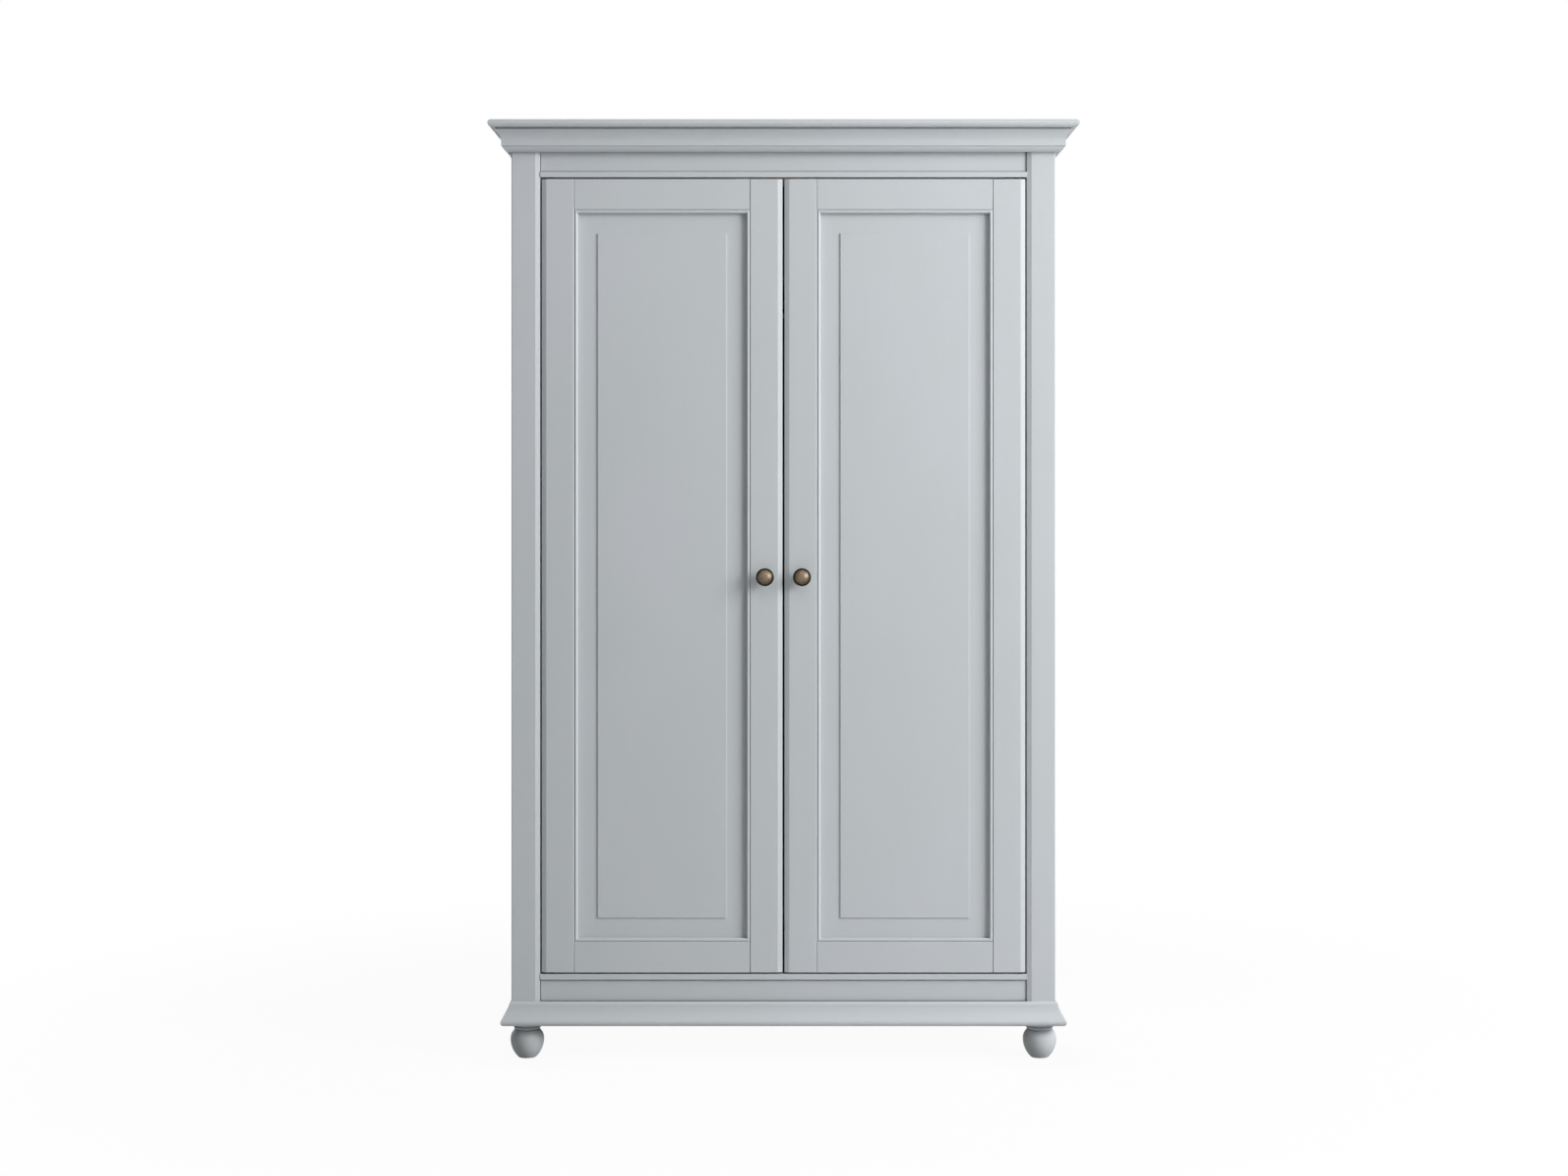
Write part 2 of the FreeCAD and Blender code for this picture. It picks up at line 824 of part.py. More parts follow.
def door_panel():
    face = front + panel_recess
    board = box(door_opening_inner - panel_tongue, door_opening_outer + panel_tongue,
                face, face + panel_thickness,
                door_opening_low - panel_tongue, door_opening_high + panel_tongue)
    border = bead_width + field_border
    field = box(door_opening_inner + border, door_opening_outer - border, face - field_rise, face,
                door_opening_low + border, door_opening_high - border)
    field = softened(field, field_bevel, lambda edge: on_front_face(edge, face - field_rise))
    return board.fuse(field).removeSplitter()


def bead_steps(place):
    """Half-round bead section; place turns (inwards, behind the door face) into a point."""
    wall_top = bead_crown_drop + bead_round_depth
    return [place(0, wall_top),
            (place(bead_width / 2, bead_crown_drop), place(bead_width, wall_top)),
            place(bead_width, panel_recess)]


def door_beads():
    """Four lengths of bead, mitred at the corners, in the angle between frame and panel."""
    x_low, x_high = door_opening_inner, door_opening_outer
    z_low, z_high = door_opening_low, door_opening_high
    inner = [(x_low + bead_width, z_low + bead_width), (x_high - bead_width, z_low + bead_width),
             (x_high - bead_width, z_high - bead_width), (x_low + bead_width, z_high - bead_width)]
    outer = [(x_low, z_low), (x_high, z_low), (x_high, z_high), (x_low, z_high)]
    inwards = [(0, 1), (-1, 0), (0, -1), (1, 0)]
    beads = []
    for index in range(4):
        start = outer[index]
        end = outer[(index + 1) % 4]
        turn_x, turn_z = inwards[index]

        def place(depth, behind):
            return Vector(start[0] + turn_x * depth, front + behind, start[1] + turn_z * depth)
        face = outline_face(place(0, panel_recess), bead_steps(place))
        bar = face.extrude(Vector(end[0] - start[0], 0, end[1] - start[1]))
        corners = [start, end, inner[(index + 1) % 4], inner[index]]
        points = [Vector(x, front, z) for x, z in corners]
        mitred = outline_face(points[0], points[1:]).extrude(Vector(0, panel_recess, 0))
        beads.append(bar.common(mitred))
    return beads


def cap_middle(radius, height, top):
    """Middle of the arc of a round cap, between its rim and its top on the axis."""
    ball = (radius * radius + height * height) / (height + height)
    half_turn = math.asin(radius / ball) / 2
    return (ball * math.sin(half_turn), top - ball + ball * math.cos(half_turn))


def knob():
    """Rose, neck, dished back, rim and dome, turned about +Z with the rose's back at the origin."""
    dome_foot = knob_projection - knob_dome_height
    rim_top = dome_foot + knob_rim_groove
    rim_low = rim_top - knob_rim_thickness
    back_low = rim_low - knob_back_height
    rim_middle = (rim_low + rim_top) / 2
    shoulder = knob_radius - knob_rim_thickness / 3
    return turned((0, 0), [
        (knob_rose_radius, 0),
        (knob_rose_radius, knob_rose_thickness / 2),
        (knob_neck_radius, knob_rose_thickness + knob_rose_thickness / 2),
        (knob_neck_radius, back_low),
        (shoulder, rim_low),
        ((knob_radius, rim_middle), (shoulder, rim_top)),
        (knob_dome_radius + knob_rim_groove, rim_top),
        (knob_dome_radius, dome_foot),
        (cap_middle(knob_dome_radius, knob_dome_height, knob_projection), (0, knob_projection))])


def knob_screw():
    """Head on the back of the door, the shank through the stile and into the knob."""
    reach = door_thickness + knob_screw_bite
    return turned((0, -knob_screw_head_height), [
        (knob_screw_head_radius, -knob_screw_head_height), (knob_screw_head_radius, 0),
        (knob_screw_radius, 0), (knob_screw_radius, reach), (0, reach)])


def placed_knob_screw():
    return placed(knob_screw(), Vector(knob_x, door_back, knob_level), FORWARD)


def strike_plate():
    """Flat plate on the back of the door, held by two prongs."""
    middle_z = head_strip_low - catch_body_height / 2
    half_height = strike_height / 2
    half = strike_length / 2
    top = min(middle_z + half_height, door_high - strike_top_margin)
    plate = box(catch_x - half, catch_x + half, door_back, door_back + strike_thickness,
                top - strike_height, top)
    prongs = []
    for direction in (-1, 1):
        x = catch_x + direction * (half - strike_prong_inset)
        spot = Vector(x, door_back + strike_thickness, top - half_height)
        prongs.append(Part.makeCylinder(strike_prong_radius, strike_thickness + strike_prong_length,
                                        spot, FORWARD))
    return plate.multiFuse(prongs).removeSplitter()


def door_pieces():
    rails = [door_top_rail(), door_bottom_rail()]
    panel = door_panel()
    plate = strike_plate()
    hinge_stile = without(upright(door_outer, door_opening_outer), rails + [panel])
    hinge_stile = without(hinge_stile, at_door_ends(bush_pocket()))
    meeting_stile = without(upright(door_inner, door_opening_inner),
                            rails + [panel, placed_knob_screw(), plate])
    single = {
        "hinge_stile": hinge_stile,
        "meeting_stile": meeting_stile,
        "top_rail": rails[0].cut(plate),
        "bottom_rail": rails[1],
        "panel": panel,
        "knob": placed(knob(), Vector(knob_x, front, knob_level), FORWARD).cut(placed_knob_screw()),
        "knob_screw": placed_knob_screw(),
        "strike_plate": plate}
    groups = {
        "beads": door_beads(),
        "pivot_bushes": at_door_ends(bush())}
    return single, groups


def build_doors():
    single, groups = door_pieces()
    for name, shape in single.items():
        save("right_door_" + name, shape)
        save("left_door_" + name, mirrored(shape))
    for name, shapes in groups.items():
        save_group("right_door_" + name, shapes)
        save_group("left_door_" + name, [mirrored(shape) for shape in shapes])


def build_carcass():
    save_pair("corner_post_front", front_post())
    save_pair("corner_post_rear", rear_post())
    save_pair("side_rail_lower", lower_side_rail())
    save_pair("side_rail_upper", upper_side_rail())
    save_pair("side_panel", without(side_panel(), carcass_screws()))
    save("frieze_rail", frieze_rail())
    save("head_strip", head_strip())
    save("plinth_rail", plinth_rail())
    save("threshold_strip", threshold_strip())
    save("back_rail_upper", upper_back_rail())
    save("back_rail_lower", lower_back_rail())
    save("back_muntin", back_muntin())
    save_pair("back_panel", without(back_panel(), [floor_board()]))


def build_fittings():
    save("floor_board", floor_board())
    save("hat_shelf", hat_shelf())
    save_group("shelf_battens", shelf_battens())
    save("hanging_rail", hanging_rail())
    save_group("rail_brackets", [rail_bracket(), mirrored(rail_bracket())])
    save("door_stop", door_stop())
    save_group("magnetic_catches", [magnetic_catch(), mirrored(magnetic_catch())])
    save_group("pivot_pins", pivot_pins())
    save_group("carcass_screws", carcass_screws())


def build_mouldings_and_feet():
    save("top_board", top_board())
    save("cornice_front", front_moulding(cornice_section(), cornice_low, cornice_reach, cornice_height,
                                         cornice_low + packing_setback))
    save_pair("cornice", side_moulding(cornice_section(), cornice_low, cornice_reach, cornice_height))
    save("base_moulding_front", front_moulding(base_section(), foot_height, base_moulding_reach,
                                               base_moulding_height, foot_height))
    save_pair("base_moulding", side_moulding(base_section(), foot_height, base_moulding_reach,
                                             base_moulding_height))
    save_pair("foot_front", foot_at(front_foot_y))
    save_pair("foot_rear", foot_at(rear_foot_y))
    save_group("foot_bolts", foot_bolts())


os.makedirs("parts", exist_ok=True)
build_carcass()
build_mouldings_and_feet()
build_fittings()
build_doors()
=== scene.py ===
"""A painted two-door wardrobe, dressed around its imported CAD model."""
import json
import math

import bmesh
import bpy
from mathutils import Matrix, Vector


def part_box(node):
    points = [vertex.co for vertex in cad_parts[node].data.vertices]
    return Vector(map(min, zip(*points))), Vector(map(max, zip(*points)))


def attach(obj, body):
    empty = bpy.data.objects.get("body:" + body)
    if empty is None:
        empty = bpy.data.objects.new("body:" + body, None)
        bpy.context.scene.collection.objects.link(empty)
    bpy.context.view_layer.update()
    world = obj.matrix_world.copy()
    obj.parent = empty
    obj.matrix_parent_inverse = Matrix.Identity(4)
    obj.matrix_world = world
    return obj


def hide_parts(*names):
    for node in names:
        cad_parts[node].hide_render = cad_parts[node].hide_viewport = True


bl_info = {
    "name": "Painted wardrobe",
    "version": (1, 0, 0),
    "blender": (4, 5, 0),
    "location": "3D View > Sidebar > Wardrobe",
    "description": "Dresses the packed model of a two-door wardrobe: paint, pine, brass and studio",
    "category": "Add Mesh",
}

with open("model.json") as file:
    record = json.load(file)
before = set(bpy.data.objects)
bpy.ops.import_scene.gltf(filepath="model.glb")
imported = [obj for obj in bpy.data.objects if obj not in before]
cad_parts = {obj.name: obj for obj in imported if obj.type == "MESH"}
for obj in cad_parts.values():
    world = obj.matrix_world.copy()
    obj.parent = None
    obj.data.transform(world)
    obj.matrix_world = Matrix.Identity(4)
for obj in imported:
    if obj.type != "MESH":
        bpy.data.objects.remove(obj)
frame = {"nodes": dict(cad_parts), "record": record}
MM = 0.001
BODY_OF = {node: body for body, nodes in frame["record"]["behaviour"]["bodies"].items() for node in nodes}
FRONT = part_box("corner_post_front_right")[0].y
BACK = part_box("corner_post_rear_right")[1].y
HALF_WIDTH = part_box("corner_post_front_right")[1].x
WHITE = (1, 1, 1, 1)

# Turns of the surface at an edge: taken as flat, eased with sandpaper, and kept crisp when shaded.
FLAT_TURN = math.radians(0.3)
EASED_TURN = math.radians(17)
CRISP_MOULDING = math.radians(28)
CRISP_TURNING = math.radians(38)
CRISP_BOARD = math.radians(50)

WELD = 0.002 * MM
SHORTEST_EASED_EDGE = 5 * MM
PACKING_GAP = 0.02 * MM

# Lowest and highest level of the packing behind a front moulding, in millimetres above its foot.
CORNICE_PACKING = (8.0, 46.5)
BASE_PACKING = (0, 41.0)

# Where each lamp stands and how wide it is, and what they all point at.
LAMPS = {"key": ((3.84, -2.4, 2.5), 2.4), "top": ((0.3, -2.0, 4.2), 3.0),
         "fill": ((-3.6, -3.6, 1.6), 2.6), "rear": ((-2.6, 3.8, 2.4), 2.4)}
AIM = (0, FRONT, 1.0)

# The floor: its radius, where its shade fades out round the wardrobe, and its darker ring of painted shade
# round a foot.
FLOOR_RADIUS = 40.0
FLOOR_FADE = (0.8, 2.4)
FOOT_PAINTED_SHADE = (0.04, 0.2)

# The camera: its sensor in millimetres, and how far it sees in metres.
SENSOR_WIDTH = 36.0
FARTHEST_SEEN = 100.0


def middle_of(node):
    """The middle of a CAD piece's box."""
    low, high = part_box(node)
    return (low + high) / 2


def both(*names):
    """The left pieces of these names, then the right ones."""
    return [name + side for side in ("_left", "_right") for name in names]


def from_screen(red, green, blue):
    """The linear colour of an 8-bit screen colour."""
    def linear(level):
        share = level / 255
        return share / 12.92 if share <= 0.04045 else ((share + 0.055) / 1.055) ** 2.4
    return (linear(red), linear(green), linear(blue))


def colour_property(label, meaning, colour):
    return bpy.props.FloatVectorProperty(name=label, description=meaning, subtype="COLOR", size=3,
                                         min=0, max=1, default=from_screen(*colour))


def length_property(label, meaning, size):
    return bpy.props.FloatProperty(name=label, description=meaning, default=size, min=0, unit="LENGTH")


def share_property(label, meaning, share):
    return bpy.props.FloatProperty(name=label, description=meaning, default=share, min=0, max=1,
                                   subtype="FACTOR")


def power_property(label, meaning, watts):
    return bpy.props.FloatProperty(name=label, description=meaning, default=watts, min=0, subtype="POWER")


class WardrobeFinish(bpy.types.PropertyGroup):
    """Colours and sheen of the wardrobe's finishes."""
    paint: colour_property("Paint", "Satin paint on the woodwork", (184, 188, 192))
    paint_warm: colour_property("Paint, thin", "Where the paint lies thinner", (180, 185, 187))
    paint_roughness: share_property("Paint roughness", "0 is a mirror, 1 is chalk", 0.56)
    pine: colour_property("Pine", "Early wood under clear lacquer", (222, 190, 142))
    pine_rings: colour_property("Pine rings", "Late wood", (188, 142, 92))
    pine_knots: colour_property("Pine knots", "Heart of a knot", (112, 70, 42))
    brass: colour_property("Brass", "Rubbed antique brass", (118, 104, 85))
    brass_patina: colour_property("Brass patina", "Brown patina in the hollows", (74, 61, 45))
    # The knob rim colour is painted shade: a nearly black tone where the rim turns away from the light.
    knob_rim_painted_shade: colour_property("Knob rim", "Nearly black rim round the dome", (24, 20, 18))
    bush_brass: colour_property("Bush brass", "Plain turned brass", (196, 164, 98))
    pivot_steel: colour_property("Pivot steel", "Blackened steel of the pivots", (58, 56, 54))
    zinc: colour_property("Zinc", "Bright zinc plate", (184, 186, 190))
    chrome: colour_property("Rail", "Chromed rail", (214, 216, 220))
    plastic: colour_property("Catch", "Moulded plastic of the catches", (226, 224, 216))


class WardrobeShape(bpy.types.PropertyGroup):
    """Small forms that the paint and the turning leave."""
    board_arris: length_property("Board arris", "Width of the eased edges of boards and posts", 1.3 * MM)
    strip_arris: length_property("Strip arris", "Width of the eased edges of the strips", 0.8 * MM)
    bead_arris: length_property("Bead arris", "Width of the eased edges of the panel beads", 0.35 * MM)
    field_arris: length_property("Field arris", "Width of the eased edges of the raised field", 0.12 * MM)
    turning_steps: bpy.props.IntProperty(name="Turning steps", description="Sides of a turned piece",
                                         default=96, min=24, max=256)


class WardrobeStage(bpy.types.PropertyGroup):
    """Studio: floor, lights and camera."""
    camera_distance: length_property("Camera distance", "From the lens to the face of the doors", 5.5)
    camera_height: length_property("Camera height", "Above the floor", 1.2228)
    focal_length: bpy.props.FloatProperty(name="Focal length", description="In millimetres", default=59.84)
    shift_up: bpy.props.FloatProperty(name="Vertical shift", description="Lens shift", default=-0.0685)
    shift_side: bpy.props.FloatProperty(name="Sideways shift", description="Lens shift", default=0.00035)
    key_power: power_property("Key", "Large soft light from the right", 280)
    top_power: power_property("Overhead", "Wide soft light above the front", 50)
    fill_power: power_property("Fill", "Weak light from the left", 1)
    rear_power: power_property("Rear", "Soft light on the back and the left side", 100)
    dome_strength: share_property("Dome", "White light from all round", 0.0)
    floor: colour_property("Floor", "Pale studio floor, as a light", (226, 226, 226))
    floor_shadow: share_property("Floor shadow", "How much of the floor's own shade shows", 0.05)
    # Painted shade: a darker floor colour round the feet, which also dims the light that the floor throws
    # back onto them.
    floor_painted_foot_shade: colour_property("Floor at the feet", "The floor near the feet, as a light", (168, 168, 168))


# Shader maths

class Wire:
    """A value in a node tree. Arithmetic with it adds Math nodes."""

    def __init__(self, recipe, socket):
        self.recipe = recipe
        self.socket = socket

    def maths(self, operation, *values):
        return self.recipe.node("ShaderNodeMath", {"operation": operation}, dict(enumerate(values)))

    def __add__(self, other):
        return self.maths("ADD", self, other)

    def __radd__(self, other):
        return self.maths("ADD", other, self)

    def __sub__(self, other):
        return self.maths("SUBTRACT", self, other)

    def __rsub__(self, other):
        return self.maths("SUBTRACT", other, self)

    def __mul__(self, other):
        return self.maths("MULTIPLY", self, other)

    def __rmul__(self, other):
        return self.maths("MULTIPLY", other, self)

    def __pow__(self, other):
        return self.maths("POWER", self, other)

    def __abs__(self):
        return self.maths("ABSOLUTE", self)

    def fraction(self):
        return self.maths("FRACT", self)

    def between(self, low, high):
        """0 below low, 1 above high, smooth between them; the other way round where high is lower."""
        return self.recipe.node("ShaderNodeMapRange", {"interpolation_type": "SMOOTHSTEP"},
                                {"Value": self, "From Min": low, "From Max": high})


class Recipe:
    """The node tree of a material or of the world, in the making."""

    def __init__(self, owner):
        self.owner = owner
        owner.use_nodes = True
        self.tree = owner.node_tree
        self.tree.nodes.clear()

    @classmethod
    def for_material(cls, name):
        return cls(bpy.data.materials.new(name))

    def node(self, kind, settings=None, values=None, output=0):
        """Any node: its settings, then the values or wires of its sockets; gives one output."""
        made = self.tree.nodes.new(kind)
        for key, setting in (settings or {}).items():
            setattr(made, key, setting)
        for key, value in (values or {}).items():
            if isinstance(value, Wire):
                self.tree.links.new(value.socket, made.inputs[key])
            else:
                made.inputs[key].default_value = value
        return Wire(self, made.outputs[output]) if made.outputs else None

    def place(self, scale=1.0):
        """Object coordinates, scaled by one number or by three."""
        spot = self.node("ShaderNodeTexCoord", output="Object")
        scales = scale if isinstance(scale, tuple) else (scale, scale, scale)
        return self.node("ShaderNodeMapping", {"vector_type": "POINT"}, {"Vector": spot, "Scale": scales})

    def along(self, place, axis):
        """One coordinate, X, Y or Z, of a place."""
        return self.node("ShaderNodeSeparateXYZ", {}, {0: place}, output=axis)

    def noise(self, place, detail=2.0, roughness=0.5, distortion=0.0):
        return self.node("ShaderNodeTexNoise", {}, {"Vector": place, "Scale": 1.0, "Detail": detail,
                                                    "Roughness": roughness, "Distortion": distortion})

    def mix(self, factor, one, other):
        """A colour between two colours."""
        def whole(colour):
            return colour if isinstance(colour, Wire) else (*colour, 1)
        return self.node("ShaderNodeMix", {"data_type": "RGBA", "clamp_factor": True},
                         {0: factor, 6: whole(one), 7: whole(other)}, output=2)

    def bump(self, height, depth, strength=1.0):
        return self.node("ShaderNodeBump", {}, {"Height": height, "Distance": depth, "Strength": strength})

    def surface(self, **values):
        shader = self.node("ShaderNodeBsdfPrincipled", {},
                           {key.replace("_", " "): value for key, value in values.items()})
        self.node("ShaderNodeOutputMaterial", {}, {"Surface": shader})
        return self.owner


def stretched(along, across_scale, along_scale):
    """Scale that draws a pattern out along one axis, or leaves it even without one."""
    return tuple(along_scale if axis == along else across_scale for axis in "xyz")


def satin_paint(along):
    """Brushed satin paint. Its faint strokes follow the piece; without a direction it is stippled."""
    finish = bpy.context.scene.wardrobe_finish
    recipe = Recipe.for_material("satin_" + (along or "even"))
    bristles, stroke_ends, dots, patches = 420, 9, 1300, (2.6, 2.6, 1.7)
    brushed = stretched(along, bristles, stroke_ends)
    strokes = recipe.noise(recipe.place(brushed), detail=3)
    stipple = recipe.noise(recipe.place(dots), detail=1)
    cloud = recipe.noise(recipe.place(patches), detail=2)
    tone = (cloud * 0.75 + strokes * 0.25).between(0.3, 0.7)
    lean = strokes * 0.65 + stipple * 0.35
    return recipe.surface(
        Base_Color=recipe.mix(tone, finish.paint_warm, finish.paint),
        Roughness=finish.paint_roughness - 0.05 + strokes * 0.1,
        Specular_IOR_Level=0.35,
        Normal=recipe.bump(lean, depth=0.05 * MM, strength=0.4))


def clear_pine(along):
    """Pine boards under clear lacquer: growth rings drawn out along the grain, fibres and a few knots."""
    finish = bpy.context.scene.wardrobe_finish
    recipe = Recipe.for_material("pine_" + along)
    ring_count, knot_reach, knot_edge, knot_core = 13, 0.16, 0.075, 0.04
    knots = recipe.node("ShaderNodeTexVoronoi", {"feature": "F1"},
                        {"Vector": recipe.place(stretched(along, 4.4, 2.2)), "Scale": 1.0, "Randomness": 1.0})
    field = recipe.noise(recipe.place(stretched(along, 7.5, 0.55)), detail=1.5, distortion=0.25)
    pushed = field + knots.between(knot_reach, 0.0) * 0.35
    ring = (pushed * ring_count).fraction()
    late = ring.between(0.35, 0.92) * ring.between(1.0, 0.93)
    fibre = recipe.noise(recipe.place(stretched(along, 900, 26)), detail=2)
    tint = recipe.noise(recipe.place(1.5), detail=1)
    wood = recipe.mix(late * 0.7 + (fibre - 0.5) * 0.5 + (tint - 0.5) * 0.3, finish.pine, finish.pine_rings)
    heart = knots.between(knot_edge, knot_core)
    return recipe.surface(
        Base_Color=recipe.mix(heart * 0.85, wood, finish.pine_knots),
        Roughness=0.46 + fibre * 0.1 - late * 0.05,
        Normal=recipe.bump(fibre * 0.6 - late * 0.4, depth=0.15 * MM, strength=0.5))


def antique_brass(knob):
    """Lacquered brass: rubbed dome, brown patina and a nearly black rim of painted shade, by the distance
    from the axis.
    """
    finish = bpy.context.scene.wardrobe_finish
    recipe = Recipe.for_material("rubbed_brass")
    spot = recipe.place()
    side = abs(recipe.along(spot, "X")) - knob.x
    rise = recipe.along(spot, "Z") - knob.z
    radius = (side * side + rise * rise) ** 0.5
    dome_edge, rim_edge, wear_fall = 15.2 * MM, 16.0 * MM, 16
    cloud = recipe.noise(recipe.place(190), detail=4, roughness=0.6)
    speck = recipe.noise(recipe.place(1500), detail=2)
    worn = (cloud * 0.7 + speck * 0.3 - radius * wear_fall).between(0.12, 0.52)
    dome = recipe.mix(worn, finish.brass_patina, finish.brass)
    # Painted shade: from the dome's edge outwards, the quirk, the rim and the back turn nearly black.
    rim = radius.between(dome_edge, rim_edge)
    return recipe.surface(
        Base_Color=recipe.mix(rim, dome, finish.knob_rim_painted_shade),
        Metallic=1.0,
        Coat_Weight=0.35,
        Coat_Roughness=0.36,
        Roughness=0.44 + cloud * 0.16 + rim * 0.1,
        Normal=recipe.bump(cloud * 0.5 + speck * 0.5, depth=0.1 * MM, strength=0.4))


def worked_metal(name, colour, roughness, along=None):
    """Metal with the fine marks of turning or drawing and a little tarnish."""
    recipe = Recipe.for_material(name)
    fine, drawn_out, tarnished = 2600, 60, 0.78
    marks = recipe.noise(recipe.place(stretched(along, fine, drawn_out)), detail=2)
    tarnish = recipe.noise(recipe.place(60), detail=3)
    darker = tuple(level * tarnished for level in colour)
    return recipe.surface(
        Base_Color=recipe.mix(tarnish.between(0.35, 0.7), darker, tuple(colour)),
        Metallic=1.0,
        Roughness=roughness + tarnish * 0.1 + marks * 0.06,
        Normal=recipe.bump(marks, depth=0.02 * MM, strength=0.3))


def moulded_plastic():
    """Spark-textured plastic of the catches."""
    finish = bpy.context.scene.wardrobe_finish
    recipe = Recipe.for_material("spark_textured_plastic")
    aged = 0.93
    grain = recipe.noise(recipe.place(2200), detail=2)
    cloud = recipe.noise(recipe.place(40), detail=2)
    darker = tuple(level * aged for level in finish.plastic)
    return recipe.surface(
        Base_Color=recipe.mix(cloud, darker, tuple(finish.plastic)),
        Roughness=0.42 + grain * 0.12,
        Normal=recipe.bump(grain, depth=0.04 * MM, strength=0.5))


def finished(name, maker, *words):
    """The material of that name, made the first time that it is asked for."""
    return bpy.data.materials.get(name) or maker(*words)


def paint_for(along):
    return finished("satin_" + (along or "even"), satin_paint, along)


def pine_for(along):
    return finished("pine_" + along, clear_pine, along)


# Pieces

def dress(node, material):
    """Give a CAD piece its finish and keep its shape."""
    materials = frame["nodes"][node].data.materials
    materials.clear()
    materials.append(material)


def stand_for(node, name, bm, material, crisp):
    """Turn a bmesh into the piece that stands for a CAD node and rides on its body."""
    bmesh.ops.recalc_face_normals(bm, faces=bm.faces)
    for face in bm.faces:
        face.smooth = True
    for edge in bm.edges:
        edge.smooth = edge.is_manifold and edge.calc_face_angle(0) < crisp
    mesh = bpy.data.meshes.new(name)
    bm.to_mesh(mesh)
    bm.free()
    mesh.materials.append(material)
    piece = bpy.data.objects.new(name, mesh)
    bpy.context.scene.collection.objects.link(piece)
    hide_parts(node)
    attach(piece, BODY_OF[node])
    return piece


def eased(node, arris, material):
    """A copy of a CAD piece with its long sharp edges eased, as paint and sandpaper leave them."""
    bm = bmesh.new()
    bm.from_mesh(frame["nodes"][node].data)
    for layers in (bm.loops.layers.float_vector, bm.loops.layers.int):
        for layer in list(layers.values()):
            layers.remove(layer)
    bmesh.ops.remove_doubles(bm, verts=bm.verts, dist=WELD)
    bmesh.ops.dissolve_limit(bm, angle_limit=FLAT_TURN, use_dissolve_boundaries=False,
                             verts=bm.verts, edges=bm.edges)
    edges = [edge for edge in bm.edges if edge.is_manifold
             and edge.calc_face_angle(0) > EASED_TURN and edge.calc_length() > SHORTEST_EASED_EDGE]
    bmesh.ops.bevel(bm, geom=edges, offset=arris, offset_type="OFFSET", segments=2, profile=0.5,
                    affect="EDGES", clamp_overlap=True, material=-1)
    piece = stand_for(node, "eased_" + node, bm, material, CRISP_BOARD)
    keep = piece.modifiers.new("flat_faces_stay_flat", "WEIGHTED_NORMAL")
    keep.keep_sharp = True


def arc(start, middle, end, steps):
    """Points along the arc through three (radius, height) points, without the first."""
    (ax, ay), (bx, by), (cx, cy) = start, middle, end
    turn = 2 * (ax * (by - cy) + bx * (cy - ay) + cx * (ay - by))
    squares = [x * x + y * y for x, y in (start, middle, end)]
    ox = (squares[0] * (by - cy) + squares[1] * (cy - ay) + squares[2] * (ay - by)) / turn
    oy = (squares[0] * (cx - bx) + squares[1] * (ax - cx) + squares[2] * (bx - ax)) / turn
    radius = math.hypot(ax - ox, ay - oy)
    first = math.atan2(ay - oy, ax - ox)

    def turned_to(x, y):
        return (math.atan2(y - oy, x - ox) - first) % math.tau
    sweep = turned_to(cx, cy)
    if turned_to(bx, by) > sweep:
        sweep -= math.tau
    angles = [first + sweep * (step + 1) / steps for step in range(steps)]
    return [(ox + radius * math.cos(angle), oy + radius * math.sin(angle)) for angle in angles]


def extruded(bm, points):
    """Lay a face through points and extrude it; gives the vertices of the new end, still to be moved."""
    face = bm.faces.new([bm.verts.new(point) for point in points])
    end = bmesh.ops.extrude_face_region(bm, geom=[face], use_keep_orig=True)
    return [item for item in end["geom"] if isinstance(item, bmesh.types.BMVert)]


def cornice_section():
    """Soffit, ovolo, quirk, upright, cove and the rebate under the top board, as (reach, height)."""
    soffit = [(0, 3.7), (8.5, 0)]
    ovolo = arc((8.5, 0), (13.6, 3.7), (18.2, 10.4), 12)
    quirk_and_upright = [(17.4, 11.0), (19.8, 11.8), (19.8, 25.5)]
    cove = arc((19.8, 25.5), (25.8, 37.4), (32.5, 45.2), 18)
    rebate = [(25.0, 45.2), (25.0, 46.5), (0, 46.5)]
    return soffit + ovolo + quirk_and_upright + cove + rebate


def base_section():
    """Sole, nose, flare, fascia and top edge, as (reach, height)."""
    nose = arc((16.5, 0), (21.5, 7.2), (18.9, 13.0), 16)
    flare = arc((18.9, 13.0), (12.0, 21.6), (7.2, 32.0), 14)
    top = arc((5.4, 38.5), (4.1, 44.8), (0.8, 49.0), 10)
    return [(0, 0), (16.5, 0)] + nose + flare + [(5.4, 38.5)] + top + [(0, 49.0)]


def mitred_runs(name, section, packing):
    """The three lengths of a moulding, mitred at the front corners, and the packing behind the front one."""
    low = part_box(name + "_front")[0].z
    for run, side, along in (("_front", -1, "x"), ("_left", -1, "y"), ("_right", 1, "y")):
        bm = bmesh.new()
        mitre = [(side * (HALF_WIDTH + reach * MM), FRONT - reach * MM, low + height * MM)
                 for reach, height in section]
        end = extruded(bm, mitre)
        if along == "x":
            bmesh.ops.scale(bm, verts=end, vec=(-1, 1, 1))
            add_packing(bm, low, *packing)
        else:
            bmesh.ops.scale(bm, verts=end, vec=(1, 0, 1))
            bmesh.ops.translate(bm, verts=end, vec=(0, BACK, 0))
        stand_for(name + run, "run_of_" + name + run, bm, paint_for(along), CRISP_MOULDING)


def add_packing(bm, low, packing_low, packing_high):
    """The strip behind a front moulding, back to the rail between the posts."""
    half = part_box("corner_post_front_right")[0].x
    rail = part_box("frieze_rail")[0].y
    behind = FRONT + PACKING_GAP
    plan = [(-half, behind), (half, behind), (half, rail), (-half, rail)]
    top = extruded(bm, [(x, y, low + packing_low * MM) for x, y in plan])
    bmesh.ops.translate(bm, verts=top, vec=(0, 0, (packing_high - packing_low) * MM))


